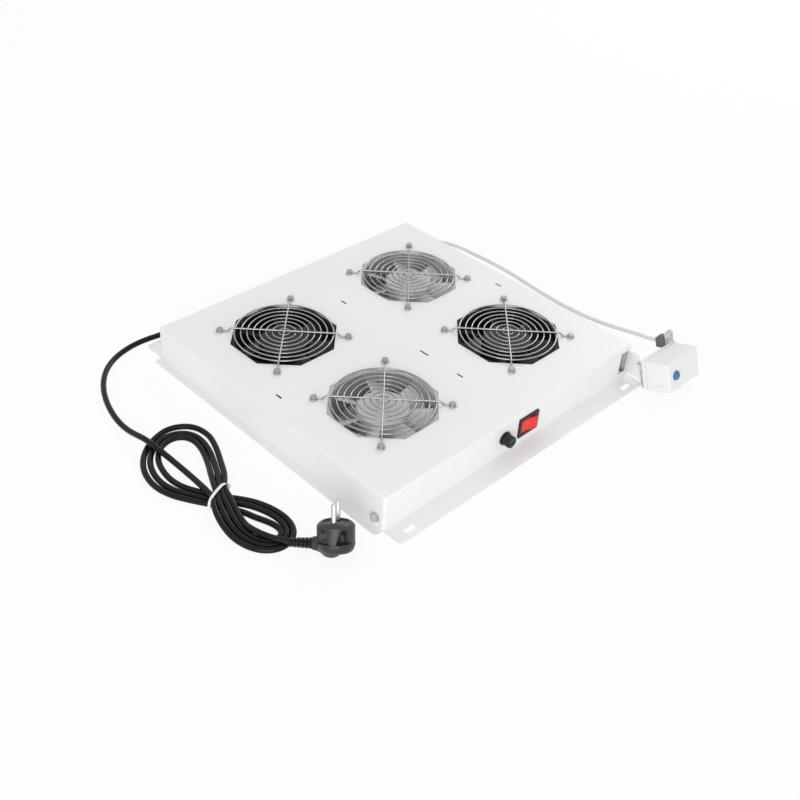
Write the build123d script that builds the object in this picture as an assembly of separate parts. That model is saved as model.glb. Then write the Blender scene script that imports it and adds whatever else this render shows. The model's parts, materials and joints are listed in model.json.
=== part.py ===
from build123d import *
import math
import os

# Rack fan tray: a folded steel tray with four guarded axial fans, a switch, a fuse and a thermostat.
# Millimetres. The origin is the tray's centre at the underside of its flanges, +X runs towards the
# thermostat, +Y from the switch wall to the back wall, +Z up.

# Tray sheet
TRAY_LONG = 400.0
TRAY_DEEP = 380.0
TRAY_HIGH = 44.0
SHEET = 1.2
BEND_R = 2.0
CORNER_R = 3.0
FRONT_FLANGE = 25.0
BACK_FLANGE = 31.0
SIDE_FLANGE = 10.0
FLANGE_CORNER = 4.0

# Slots in the flanges, for the rack's screws
RACK_SLOT_LONG = 15.0
RACK_SLOT_WIDE = 6.4
RACK_SLOT_IN = 22.0
RACK_SLOT_TO_WALL = 15.0

# Slots in the top for cable ties
TIE_SLOT_WIDE = 2.6
TIE_SLOT_LONG = 10.0
LONG_TIE_SLOT = 14.0
END_TIE_SLOT_IN = 24.0
BACK_TIE_SLOT_IN = 96.0
FRONT_TIE_SLOT_IN = 90.0
MIDDLE_TIE_SLOT_Y = -44.0

# Fans
FAN_PITCH_X = 201.0
FAN_PITCH_Y = 166.5
FANS_MIDDLE = (2.0, 3.0)
FAN_SIZE = 119.0
FAN_DEEP = 38.0
FAN_CORNER_R = 5.0
FAN_RIM = 2.5
FAN_WALL = 2.2
FAN_PLATE = 4.0
FAN_BORE_CHAMFER = 1.2
FAN_HOLE_IN = 7.0
FAN_HOLE = 4.4
APERTURE_MARGIN = 2.0

# Fan motor and impeller
MOTOR_PLATE_R = 29.0
MOTOR_PLATE = 3.0
SPOKES = 4
SPOKE_WIDE = 6.0
SPOKE_HIGH = 4.0
SPOKE_SEAT = 1.0
SHAFT_R = 2.0
BEARING_FIT = 0.05
BEARING_TUBE_R = 6.0
BEARING_TUBE_HIGH = 22.0
STATOR_R = 22.0
STATOR_HIGH = 12.0
STATOR_LIFT = 1.5
COIL_HIGH = 2.5
COIL_R = 17.0
POLES = 4
POLE_GAP = 2.0
POLE_ROOT = 3.0
STATOR_SEAT = 2.0
HUB_R = 29.0
HUB_WALL = 3.0
HUB_TOP_GAP = 4.5
HUB_BOTTOM_GAP = 1.8
HUB_EDGE_R = 2.5
BLADES = 7
BLADE_TIP_GAP = 1.4
BLADE_ROOT_CHORD = 24.0
BLADE_TIP_CHORD = 36.0
BLADE_ROOT_PITCH = 48.0
BLADE_TIP_PITCH = 30.0
BLADE_CAMBER = 2.4
BLADE_THICK = 1.8
BLADE_EDGE = 1.0
BLADE_BITE = 1.6

# Finger guards
RING_WIRE = 1.7
CROSS_WIRE = 2.0
RING_COUNT = 8
RING_FIRST_R = 6.5
LAST_RING_IN = 0.1
GUARD_RISE = 2.6
EYELET_OUTER = 9.0
CROSS_SHOULDER_OUT = 4.0
WELD_BITE = 0.25

# Guard screws and nuts
SCREW_R = 1.95
SCREW_HEAD_R = 3.7
SCREW_HEAD = 2.4
SCREW_HEAD_EDGE = 0.9
SCREW_TAIL = 1.5
NUT_ACROSS = 7.0
NUT_HIGH = 3.2

# Rocker switch
SWITCH_X = 14.5
PANEL_MIDDLE_Z = 23.5
BEZEL_LONG = 32.0
BEZEL_HIGH = 25.6
BEZEL = 2.0
BEZEL_R = 2.0
SWITCH_BODY_LONG = 27.0
SWITCH_BODY_HIGH = 21.4
SWITCH_BODY_DEEP = 22.0
SWITCH_CUTOUT_GAP = 0.2
ROCKER_R = 11.8
ROCKER_GAP = 0.35
ROCKER_HIGH = 16.0
ROCKER_TILT = 12.0
ROCKER_RIDGE = 3.6
ROCKER_HORN = 5.6
ROCKER_BACK = 4.0
ROCKER_PIVOT_IN = 2.0
ROCKER_PIN_R = 1.3
ROCKER_PIN_LONG = 1.4
ROCKER_WELL = 9.0
RUN_FIT = 0.05
TAB_WIDE = 6.3
TAB_THICK = 0.8
TAB_LONG = 8.0
SWITCH_TABS = 3
SWITCH_TAB_PITCH = 7.0

# Fuse holder
FUSE_X = -23.5
FUSE_FLANGE_R = 8.0
FUSE_FLANGE = 2.0
FUSE_BARREL_R = 6.0
FUSE_BARREL_LONG = 32.0
FUSE_BORE_R = 4.6
FUSE_FLOOR = 2.5
FUSE_CAP_R = 6.8
FUSE_CAP_LONG = 9.0
FUSE_CAP_FLUTES = 12
FUSE_FLUTE_R = 0.8
FUSE_CAP_SLOT = 1.6
FUSE_CAP_EDGE = 1.0
FUSE_CAP_GAP = 0.3
FUSE_STEM_LONG = 9.0
FUSE_LINK_R = 2.6
FUSE_LINK_LONG = 20.0
FUSE_SOCKET_DEEP = 5.0
FUSE_NUT_ACROSS = 16.0
FUSE_NUT_HIGH = 3.0
SEAT_GAP = 0.1

# Thermostat, turned up on its leaning bracket
STAT_IN = 8.0
STAT_OUT = 32.0
STAT_LIFT = 1.0
STAT_LEAN = 19.5
STAT_LONG = 60.0
STAT_DEEP = 36.5
STAT_HIGH = 36.0
STAT_EDGE = 2.0
STAT_BACK = 6.0
STAT_SEAM = 0.8
STAT_GRIP_DEEP = 1.2
STAT_GRIP_FROM = 16.5
STAT_GRIP_LONG = 12.5
STAT_GRIP_IN = 7.0
DIAL_X = 14.0
DIAL_R = 5.2
DIAL_HIGH = 3.2
DIAL_WELL = 1.2
DIAL_GAP = 0.6
DIAL_FLOOR_GAP = 0.3
DIAL_EDGE = 0.6
DIAL_POINTER_DEEP = 1.0
DIAL_SHAFT_R = 2.5
DIAL_SHAFT_LONG = 8.0
DIAL_POINTER = 1.2

# Thermostat bracket
BRACKET = 1.5
BRACKET_LONG = 72.0
BRACKET_OVERHANG = 2.0
BRACKET_HIGH = 31.0
BRACKET_FOOT = 1.5
BRACKET_LIP = 5.0
LUG_IN = 4.0
LUG_LONG = 16.0
LUG_CORNER = 4.0
LUG_HIGH = 19.0
ARM_HIGH = 30.0
ARM_FOOT = 8.0
ARM_END_GAP = 3.0
ARM_WINDOW = 14.0
ARM_RETURN = 13.0
RIVET_R = 1.6
RIVET_HEAD_R = 3.0
RIVET_HEAD = 1.0
RIVET_PITCH = 14.0

# Boot where the thermostat's lead goes in
BOOT_LONG = 12.0
BOOT_DEEP = 11.0
BOOT_HIGH = 14.0
BOOT_BESIDE_LUG = 2.0
BOOT_EDGE = 2.5

# Mains gland in the back wall
GLAND_X = -128.0
GLAND_Z = 13.0
GLAND_HOLE_R = 7.0
GLAND_FIT = 0.1
GLAND_FLANGE_R = 9.5
GLAND_FLANGE = 3.0
GLAND_NUT_ACROSS = 19.0
GLAND_NUT_HIGH = 4.0
GLAND_TAIL_R = 5.6
GLAND_LIP = 0.8
MAINS_R = 3.25

# Bush for the thermostat's lead in the right wall
BUSH_Y = 152.0
BUSH_Z = 22.0
BUSH_HOLE_R = 4.5
BUSH_FLANGE_R = 6.5
BUSH_FLANGE = 2.0
BUSH_WALL = 1.2
LEAD_R = 2.5

# Earth screw in the left wall
EARTH_IN = 11.0
EARTH_Z = 13.0
EARTH_SCREW_R = 2.4
EARTH_HEAD_ACROSS = 8.0
EARTH_HEAD = 3.6
EARTH_WASHER_R = 5.5
EARTH_WASHER = 1.0
EARTH_NUT_HIGH = 4.0
EARTH_TAIL = 3.0

# Terminal block under the top, between the fans
BLOCK_LONG = 50.0
BLOCK_DEEP = 17.0
BLOCK_BASE = 5.0
BLOCK_HIGH = 14.0
BLOCK_TOWER_DEEP = 11.0
BLOCK_WAYS = 4
BLOCK_WAY_PITCH = 8.5
BLOCK_TOWER_GAP = 1.2
BLOCK_SCREW_R = 1.9
BLOCK_SCREW_HIGH = 2.0
BLOCK_SCREW_PITCH = 5.5
BLOCK_STUD_PITCH = 42.0
BLOCK_STUD_R = 1.5
BLOCK_STUD_TAIL = 1.0
BLOCK_NUT_ACROSS = 5.5
BLOCK_NUT_HIGH = 2.4

# Cord lying beside the tray
MAINS_ROUTE = (
    (-128.0, 202.5, 13.0),
    (-128.0, 213.0, 13.0),
    (-132.2, 222.9, 11.5),
    (-140.0, 230.2, 9.0),
    (-150.5, 234.0, 6.3),
    (-163.0, 235.0, 4.5),
    (-177.0, 235.3, 3.7),
    (-196.0, 237.3, 3.3),
    (-218.5, 234.0, 3.3),
    (-244.0, 224.0, 3.3),
    (-265.0, 207.5, 3.3),
    (-280.0, 186.0, 3.3),
    (-293.0, 160.0, 3.3),
    (-301.5, 131.0, 3.3),
    (-301.0, 104.0, 3.3),
    (-297.5, 84.0, 3.5),
    (-295.5, 66.0, 4.5),
)
LEAD_ROUTE = (
    (206.0, 152.0, 22.0),
    (218.0, 152.0, 22.0),
    (231.0, 149.0, 19.5),
    (243.0, 142.0, 14.5),
    (254.0, 130.0, 9.0),
    (261.5, 112.0, 4.5),
    (265.5, 90.0, 2.7),
    (265.8, 62.0, 2.7),
    (262.5, 25.0, 2.7),
    (259.0, -13.0, 2.7),
    (257.5, -48.0, 2.7),
    (259.5, -80.0, 2.7),
    (263.0, -108.0, 3.6),
    (265.0, -132.0, 7.3),
    (262.0, -153.0, 13.6),
    (255.3, -170.5, 21.2),
    (247.5, -184.3, 28.0),
    (247.5, -197.54, 32.65),
)

# Hank of the mains cord
HANK_HIGH = 13.5
HANK_TIE = (-295.0, -48.5)
HANK_TURN = 22.0
WAIST_WIDE = 27.0
WAIST_LONG = 24.0
UPPER_OUTER = (
    (-284.0, -42.0), (-262.5, -10.0), (-246.5, 24.0), (-249.5, 56.0),
    (-285.0, 67.0), (-312.0, 57.0), (-334.0, 17.0), (-327.0, -26.0), (-306.0, -50.0),
)
UPPER_INNER = (
    (-289.0, -26.0), (-275.5, 0.0), (-268.0, 28.0), (-288.0, 47.0), (-308.0, 28.0), (-309.0, -8.0),
)
LOWER_OUTER = (
    (-286.0, -52.0), (-270.0, -82.0), (-264.5, -110.0), (-272.0, -140.0),
    (-296.0, -148.0), (-316.5, -125.0), (-315.5, -92.0), (-308.0, -58.0),
)
LOWER_INNER = (
    (-291.0, -82.0), (-277.0, -104.0), (-275.0, -128.0), (-290.0, -131.0), (-299.0, -106.0),
)

STRAND_X = -294.0
STRAND_FROM = -34.0
STRAND_TO = 54.0
STRAND_HIGH = 12.0

# Cable tie round the hank
TIE_WIDE = 3.6
TIE_THICK = 1.3
TIE_GAP = 0.4
TIE_HEAD = (6.0, 5.0, 4.5)
TIE_HEAD_LIFT = 1.0

# Plug
PLUG_MIDDLE = (-254.9, -182.5, 14.6)
PLUG_CORD_DIR = (-0.62, 0.775, -0.12)
PLUG_PIN_DIR = (0.3342, 0.3994, 0.8537)
PLUG_R = 18.0
PLUG_BACK_R = 16.0
PLUG_SIDE = 20.0
PLUG_DEEP = 29.0
PLUG_CORD_AXIS = 22.0
PLUG_EDGE = 1.5
PLUG_BULGE_R = 12.5
PLUG_BULGE_X = 2.0
PLUG_NECK_FROM = 6.0
PLUG_NECK_R = 7.0
PLUG_NECK_LONG = 22.0
PLUG_SCOOP_R = 7.5
PLUG_SCOOP_X = 11.5
PLUG_SCOOP_Y = 14.5
PLUG_SCOOP_Z = 9.0
PIN_R = 2.4
PIN_LONG = 19.0
PIN_PITCH = 19.0
RELIEF_LONG = 24.0
RELIEF_ROOT_R = 5.6
RELIEF_END_R = 4.4
RELIEF_RIBS = 5
RELIEF_GROOVE = 1.4
RELIEF_GROOVE_DEEP = 1.2
PIN_TIP = 1.44

FANS = {
    "back_left": (-1, 1),
    "back_right": (1, 1),
    "front_right": (1, -1),
    "front_left": (-1, -1),
}
CORNERS = tuple(FANS.values())
HALF_LONG = TRAY_LONG / 2
HALF_DEEP = TRAY_DEEP / 2
CUT = 3 * SHEET
FAN_BORE = FAN_SIZE - 2 * FAN_RIM
FAN_HOLE_PITCH = FAN_SIZE - 2 * FAN_HOLE_IN
APERTURE = FAN_BORE + 2 * APERTURE_MARGIN
FAN_TOP = TRAY_HIGH - SHEET
FAN_BOTTOM = FAN_TOP - FAN_DEEP
HUB_TOP = FAN_TOP - HUB_TOP_GAP
HUB_BOTTOM = FAN_BOTTOM + MOTOR_PLATE + HUB_BOTTOM_GAP
RING_MIDDLE_Z = TRAY_HIGH + CROSS_WIRE / 2 + GUARD_RISE
CROSS_MIDDLE_Z = RING_MIDDLE_Z + RING_WIRE / 2 + CROSS_WIRE / 2 - WELD_BITE
BLADE_TIP_R = FAN_BORE / 2 - BLADE_TIP_GAP
SWITCH_FACE_Y = -HALF_DEEP
ROCKER_PIVOT = (SWITCH_X, SWITCH_FACE_Y + ROCKER_PIVOT_IN, PANEL_MIDDLE_Z)
STAT_X = HALF_LONG - STAT_IN
STAT_Y = -HALF_DEEP - STAT_OUT
ARM_X = STAT_X + ARM_END_GAP
EARTH_Y = -HALF_DEEP + EARTH_IN
LUG_FROM = BRACKET_LONG - BRACKET_OVERHANG - LUG_IN - LUG_LONG
RING_STEP = (FAN_BORE / 2 - LAST_RING_IN - RING_FIRST_R) / (RING_COUNT - 1)
CROSS_SHOULDER = FAN_BORE / 2 + CROSS_SHOULDER_OUT


def fan_place(name):
    side, end = FANS[name]
    return Pos(FANS_MIDDLE[0] + side * FAN_PITCH_X / 2, FANS_MIDDLE[1] + end * FAN_PITCH_Y / 2, 0)


def at_fan_holes(shape):
    half = FAN_HOLE_PITCH / 2
    return [Pos(side * half, end * half, 0) * shape for side, end in CORNERS]


def outward(origin, direction):
    return Plane(origin=origin, z_dir=direction)


def upright(radius, low, high):
    return Pos(0, 0, low) * Cylinder(radius, high - low, align=(Align.CENTER, Align.CENTER, Align.MIN))


def rod(origin, direction, radius, length):
    return extrude(outward(origin, direction) * Circle(radius), length)


def hexagon_rod(origin, direction, across, length):
    return extrude(outward(origin, direction) * RegularPolygon(across / 2, 6, major_radius=False), length)


def block(low, high):
    size = [b - a for a, b in zip(low, high)]
    middle = [(a + b) / 2 for a, b in zip(low, high)]
    return Pos(*middle) * Box(*size)


# Tray

def tray_shell():
    outer = block((-HALF_LONG, -HALF_DEEP, 0), (HALF_LONG, HALF_DEEP, TRAY_HIGH))
    outer = fillet(outer.edges().filter_by(Axis.Z), CORNER_R)
    outer = fillet(outer.faces().sort_by(Axis.Z)[-1].edges(), BEND_R)
    inside_x = HALF_LONG - SHEET
    inside_y = HALF_DEEP - SHEET
    inner = block((-inside_x, -inside_y, -SHEET), (inside_x, inside_y, TRAY_HIGH - SHEET))
    inner = fillet(inner.edges().filter_by(Axis.Z), CORNER_R - SHEET)
    inner = fillet(inner.faces().sort_by(Axis.Z)[-1].edges(), BEND_R - SHEET)
    return outer - inner


def flanges():
    ends = Rectangle(TRAY_LONG, TRAY_DEEP + FRONT_FLANGE + BACK_FLANGE)
    ends = Pos(0, (BACK_FLANGE - FRONT_FLANGE) / 2) * fillet(ends.vertices(), FLANGE_CORNER)
    sides = Rectangle(TRAY_LONG + 2 * SIDE_FLANGE, TRAY_DEEP)
    sides = fillet(sides.vertices(), FLANGE_CORNER)
    hollow = RectangleRounded(TRAY_LONG - 2 * SHEET, TRAY_DEEP - 2 * SHEET, CORNER_R - SHEET)
    return extrude(ends + sides - hollow, SHEET)


def rack_slots():
    slot = extrude(SlotOverall(RACK_SLOT_LONG, RACK_SLOT_WIDE), CUT)
    half = HALF_LONG - RACK_SLOT_IN
    line = HALF_DEEP + RACK_SLOT_TO_WALL
    return [Pos(side * half, end * line, -SHEET) * slot for side, end in CORNERS]


def tie_slots():
    end_x = HALF_LONG - END_TIE_SLOT_IN
    places = (
        (-end_x, 0, TIE_SLOT_LONG),
        (end_x, 0, TIE_SLOT_LONG),
        (0, HALF_DEEP - BACK_TIE_SLOT_IN, TIE_SLOT_LONG),
        (0, MIDDLE_TIE_SLOT_Y, LONG_TIE_SLOT),
        (0, FRONT_TIE_SLOT_IN - HALF_DEEP, TIE_SLOT_LONG),
    )
    cuts = []
    for x, y, length in places:
        outline = SlotOverall(length, TIE_SLOT_WIDE, rotation=90)
        cuts.append(Pos(x, y, TRAY_HIGH - 2 * SHEET) * extrude(outline, CUT))
    return cuts


def fan_openings():
    octagon = extrude(RegularPolygon(APERTURE / 2, 8, major_radius=False, rotation=22.5), CUT)
    hole = upright(FAN_HOLE / 2, 0, CUT)
    cuts = []
    for name in FANS:
        place = fan_place(name) * Pos(0, 0, TRAY_HIGH - 2 * SHEET)
        cuts.append(place * octagon)
        cuts += [place * cut for cut in at_fan_holes(hole)]
    return cuts


def wall_openings():
    wall = CUT
    gap = SWITCH_CUTOUT_GAP
    long = SWITCH_BODY_LONG / 2 + gap
    high = SWITCH_BODY_HIGH / 2 + gap
    switch = block(
        (SWITCH_X - long, -HALF_DEEP - wall, PANEL_MIDDLE_Z - high),
        (SWITCH_X + long, -HALF_DEEP + wall, PANEL_MIDDLE_Z + high),
    )
    fuse = rod((FUSE_X, -HALF_DEEP - wall, PANEL_MIDDLE_Z), (0, 1, 0), FUSE_BARREL_R + SEAT_GAP, 2 * wall)
    gland = rod((GLAND_X, HALF_DEEP - wall, GLAND_Z), (0, 1, 0), GLAND_HOLE_R, 2 * wall)
    bush = rod((HALF_LONG - wall, BUSH_Y, BUSH_Z), (1, 0, 0), BUSH_HOLE_R, 2 * wall)
    earth = rod((-HALF_LONG - wall, EARTH_Y, EARTH_Z), (1, 0, 0), EARTH_SCREW_R + SEAT_GAP, 2 * wall)
    lanced = block(
        (ARM_X - ARM_WINDOW, -HALF_DEEP - wall, ARM_FOOT),
        (ARM_X, -HALF_DEEP + wall, ARM_FOOT + ARM_HIGH),
    )
    return [switch, fuse, gland, bush, earth, lanced]


def stat_plane():
    lean = math.radians(STAT_LEAN)
    return Plane(
        origin=(STAT_X, STAT_Y, STAT_LIFT),
        x_dir=(1, 0, 0),
        z_dir=(0, math.sin(lean), math.cos(lean)),
    )


def bracket_arm():
    # The arm bent out of the front wall, with a return that follows the leaning bracket.
    arm = block(
        (ARM_X, -HALF_DEEP - 2 * FRONT_FLANGE, ARM_FOOT),
        (ARM_X + SHEET, -HALF_DEEP + SHEET, ARM_FOOT + ARM_HIGH),
    )
    behind = stat_plane() * block(
        (-STAT_LONG, BRACKET, -TRAY_HIGH),
        (STAT_LONG, 3 * FRONT_FLANGE, 2 * TRAY_HIGH),
    )
    tab = stat_plane() * block(
        (ARM_X - STAT_X, BRACKET, -TRAY_HIGH),
        (ARM_X - STAT_X + ARM_RETURN, BRACKET + SHEET, 2 * TRAY_HIGH),
    )
    notch = stat_plane() * block(
        (-STAT_LONG, -BRACKET, BRACKET_FOOT + BRACKET_HIGH - BRACKET - SEAT_GAP),
        (STAT_LONG, BRACKET_LIP + SEAT_GAP, 2 * TRAY_HIGH),
    )
    band = block(
        (0, -HALF_DEEP - 2 * FRONT_FLANGE, ARM_FOOT),
        (TRAY_LONG, -HALF_DEEP, ARM_FOOT + ARM_HIGH),
    )
    return (arm & behind) + (tab & band) - notch


def rivet_places():
    middle = ARM_X - STAT_X + (SHEET + ARM_RETURN) / 2
    height = ARM_FOOT + (ARM_HIGH - BRACKET_LIP) / 2 - STAT_LIFT
    return [(middle, height + end * RIVET_PITCH / 2) for end in (-1, 1)]


def rivet_holes():
    cuts = []
    for x, z in rivet_places():
        cuts.append(stat_plane() * rod((x, -BRACKET, z), (0, 1, 0), RIVET_R, 3 * BRACKET + SHEET))
    return cuts


def tray_pan():
    pan = tray_shell() + flanges()
    pan = pan - rack_slots() - tie_slots() - fan_openings() - wall_openings()
    pan = pan + bracket_arm()
    return pan - rivet_holes()


# Fans

def fan_frame():
    plate = RectangleRounded(FAN_SIZE, FAN_SIZE, FAN_CORNER_R)
    low = Pos(0, 0, FAN_BOTTOM) * extrude(plate, FAN_PLATE)
    high = Pos(0, 0, FAN_TOP - FAN_PLATE) * extrude(plate, FAN_PLATE)
    frame = low + high + upright(FAN_BORE / 2 + FAN_WALL, FAN_BOTTOM, FAN_TOP)
    frame -= upright(FAN_BORE / 2, FAN_BOTTOM, FAN_TOP)
    mouths = frame.edges().filter_by(GeomType.CIRCLE)
    mouths = mouths.filter_by(lambda edge: abs(edge.radius - FAN_BORE / 2) < 0.01)
    frame = chamfer(mouths, FAN_BORE_CHAMFER)
    frame -= at_fan_holes(upright(FAN_HOLE / 2, FAN_BOTTOM, FAN_TOP))
    return frame - spoke_seats()


def spoke(end):
    arm = block((0, -SPOKE_WIDE / 2, FAN_BOTTOM), (end, SPOKE_WIDE / 2, FAN_BOTTOM + SPOKE_HIGH))
    return [Rot(0, 0, 45 + turn * 360 / SPOKES) * arm for turn in range(SPOKES)]


def spoke_seats():
    # The pockets in the housing's rim that the motor mount's spokes are fixed in.
    return spoke(FAN_BORE / 2 + SPOKE_SEAT)


def fan_motor_mount():
    # The spider that carries the motor: a plate on four spokes, with the shaft's bearing tube.
    reach = upright(FAN_BORE / 2 + SPOKE_SEAT, FAN_BOTTOM, FAN_TOP)
    mount = [arm & reach for arm in spoke(FAN_BORE)]
    plate = upright(MOTOR_PLATE_R, FAN_BOTTOM, FAN_BOTTOM + MOTOR_PLATE)
    room = upright(MOTOR_PLATE_R, FAN_BOTTOM + MOTOR_PLATE, FAN_TOP)
    tube = upright(BEARING_TUBE_R, FAN_BOTTOM, FAN_BOTTOM + MOTOR_PLATE + BEARING_TUBE_HIGH)
    mount = plate + mount - room + tube
    return mount - upright(SHAFT_R + BEARING_FIT, FAN_BOTTOM + MOTOR_PLATE / 2, FAN_TOP)


def fan_stator():
    low = FAN_BOTTOM + MOTOR_PLATE
    foot = low + STATOR_LIFT + COIL_HIGH
    iron = upright(STATOR_R, foot, foot + STATOR_HIGH)
    slot = block(
        (BEARING_TUBE_R + POLE_ROOT, -POLE_GAP / 2, foot),
        (2 * STATOR_R, POLE_GAP / 2, foot + STATOR_HIGH),
    )
    iron -= [Rot(0, 0, 45 + turn * 360 / POLES) * slot for turn in range(POLES)]
    coils = upright(COIL_R, low + STATOR_LIFT, foot + STATOR_HIGH + COIL_HIGH)
    seat = upright(BEARING_TUBE_R + STATOR_SEAT, low, low + STATOR_LIFT)
    return iron + coils + seat - upright(BEARING_TUBE_R + SEAT_GAP / 2, low, FAN_TOP)


def blade_section(chord):
    half = chord / 2
    edge = BLADE_EDGE / 2
    top = ThreePointArc((-half, edge), (0, BLADE_CAMBER + BLADE_THICK / 2), (half, edge))
    tail = Line((half, edge), (half, -edge))
    bottom = ThreePointArc((half, -edge), (0, BLADE_CAMBER - BLADE_THICK / 2), (-half, -edge))
    nose = Line((-half, -edge), (-half, edge))
    return make_face([top, tail, bottom, nose])


def blade():
    middle = (HUB_TOP + HUB_BOTTOM) / 2
    sections = []
    for radius, chord, pitch in (
        (HUB_R - BLADE_BITE, BLADE_ROOT_CHORD, BLADE_ROOT_PITCH),
        (FAN_BORE / 2 + BLADE_BITE, BLADE_TIP_CHORD, BLADE_TIP_PITCH),
    ):
        turn = math.radians(pitch)
        along = (0, math.cos(turn), math.sin(turn))
        plane = Plane(origin=(radius, 0, middle), x_dir=along, z_dir=(1, 0, 0))
        sections.append(plane * blade_section(chord))
    return loft(sections) & upright(BLADE_TIP_R, 0, TRAY_HIGH)


def fan_rotor():
    cup = upright(HUB_R, HUB_BOTTOM, HUB_TOP)
    cup = fillet(cup.edges().sort_by(Axis.Z)[-1], HUB_EDGE_R)
    blades = [Rot(0, 0, turn * 360 / BLADES) * blade() for turn in range(BLADES)]
    cup = cup + blades
    cup -= upright(HUB_R - HUB_WALL, 0, HUB_TOP - HUB_WALL)
    shaft = upright(SHAFT_R, FAN_BOTTOM + MOTOR_PLATE, HUB_TOP - HUB_WALL)
    return cup + shaft


# Finger guards

def guard_ring(radius):
    return Pos(0, 0, RING_MIDDLE_Z) * Torus(radius, RING_WIRE / 2)


def cross_wire(turn):
    reach = math.hypot(FAN_HOLE_PITCH, FAN_HOLE_PITCH) / 2 - (EYELET_OUTER - CROSS_WIRE) / 2
    foot = TRAY_HIGH + CROSS_WIRE / 2
    step = CROSS_MIDDLE_Z - foot
    points = (
        (-reach, 0, foot),
        (-CROSS_SHOULDER - step, 0, foot),
        (-CROSS_SHOULDER, 0, CROSS_MIDDLE_Z),
        (CROSS_SHOULDER, 0, CROSS_MIDDLE_Z),
        (CROSS_SHOULDER + step, 0, foot),
        (reach, 0, foot),
    )
    path = FilletPolyline(*points, radius=1.5 * CROSS_WIRE)
    wire = sweep(outward(path @ 0, path % 0) * Circle(CROSS_WIRE / 2), path=path)
    return Rot(0, 0, turn) * wire


def fan_guard():
    rings = [guard_ring(RING_FIRST_R + index * RING_STEP) for index in range(RING_COUNT)]
    wires = cross_wire(45) + cross_wire(-45)
    eyelet_r = (EYELET_OUTER - CROSS_WIRE) / 2
    eyelets = at_fan_holes(Pos(0, 0, TRAY_HIGH + CROSS_WIRE / 2) * Torus(eyelet_r, CROSS_WIRE / 2))
    return wires + rings + eyelets


def guard_screw():
    seat = TRAY_HIGH + CROSS_WIRE
    head = upright(SCREW_HEAD_R, seat, seat + SCREW_HEAD)
    head = fillet(head.edges().sort_by(Axis.Z)[-1], SCREW_HEAD_EDGE)
    tail = FAN_TOP - FAN_PLATE - NUT_HIGH - SCREW_TAIL
    return head + upright(SCREW_R, tail, seat)


def guard_nut():
    top = FAN_TOP - FAN_PLATE
    nut = hexagon_rod((0, 0, top - NUT_HIGH), (0, 0, 1), NUT_ACROSS, NUT_HIGH)
    return nut - upright(SCREW_R + RUN_FIT, top - 2 * NUT_HIGH, top + NUT_HIGH)


def at_every_fan_hole(shape):
    return [fan_place(name) * copy for name in FANS for copy in at_fan_holes(shape)]


# Rocker switch

def switch_housing():
    face = SWITCH_FACE_Y
    front = Plane(origin=(SWITCH_X, face, PANEL_MIDDLE_Z), x_dir=(1, 0, 0), z_dir=(0, -1, 0))
    bezel = extrude(front * RectangleRounded(BEZEL_LONG, BEZEL_HIGH, BEZEL_R), BEZEL)
    bezel = chamfer(bezel.faces().sort_by(Axis.Y)[0].edges(), BEZEL / 3)
    body = extrude(front * Rectangle(SWITCH_BODY_LONG, SWITCH_BODY_HIGH), -SWITCH_BODY_DEEP)
    well_long = 2 * (ROCKER_R + ROCKER_GAP)
    well_high = ROCKER_HIGH + 2 * ROCKER_GAP
    well = extrude(front * Rectangle(well_long, well_high), 2 * BEZEL)
    well += extrude(front * Rectangle(well_long, well_high), -ROCKER_WELL)
    pivot = rod(
        (ROCKER_PIVOT[0], ROCKER_PIVOT[1], ROCKER_PIVOT[2] - ROCKER_HIGH / 2 - ROCKER_PIN_LONG - SEAT_GAP),
        (0, 0, 1), ROCKER_PIN_R + RUN_FIT, ROCKER_HIGH + 2 * ROCKER_PIN_LONG + 2 * SEAT_GAP,
    )
    return bezel + body - well - pivot


def switch_rocker():
    outline = Circle(ROCKER_R)
    front = Polyline(
        (-ROCKER_R, -ROCKER_HORN), (0, -ROCKER_RIDGE), (ROCKER_R, -ROCKER_HORN),
        (ROCKER_R, ROCKER_BACK / 4), (ROCKER_BACK, ROCKER_BACK), (-ROCKER_BACK, ROCKER_BACK),
        (-ROCKER_R, ROCKER_BACK / 4), (-ROCKER_R, -ROCKER_HORN),
    )
    profile = outline & make_face(front)
    rocker = extrude(profile, ROCKER_HIGH / 2, both=True)
    pins = upright(ROCKER_PIN_R, -ROCKER_HIGH / 2 - ROCKER_PIN_LONG, ROCKER_HIGH / 2 + ROCKER_PIN_LONG)
    return Pos(*ROCKER_PIVOT) * Rot(0, 0, -ROCKER_TILT) * (rocker + pins)


def blade_tabs(x, y, z, count, pitch):
    tabs = []
    for index in range(count):
        middle = x + (index - (count - 1) / 2) * pitch
        low = (middle - TAB_THICK / 2, y, z - TAB_WIDE / 2)
        high = (middle + TAB_THICK / 2, y + TAB_LONG, z + TAB_WIDE / 2)
        tabs.append(block(low, high))
    return tabs


def switch_terminals():
    back = SWITCH_FACE_Y + SWITCH_BODY_DEEP
    return blade_tabs(SWITCH_X, back, PANEL_MIDDLE_Z, SWITCH_TABS, SWITCH_TAB_PITCH)


# Fuse holder

def fuse_axis(y):
    return (FUSE_X, y, PANEL_MIDDLE_Z)


def fuse_holder():
    face = -HALF_DEEP
    holder = rod(fuse_axis(face), (0, -1, 0), FUSE_FLANGE_R, FUSE_FLANGE)
    holder += rod(fuse_axis(face), (0, 1, 0), FUSE_BARREL_R, FUSE_BARREL_LONG)
    bore_long = FUSE_FLANGE + FUSE_BARREL_LONG - FUSE_FLOOR
    return holder - rod(fuse_axis(face - FUSE_FLANGE), (0, 1, 0), FUSE_BORE_R, bore_long)


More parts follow.
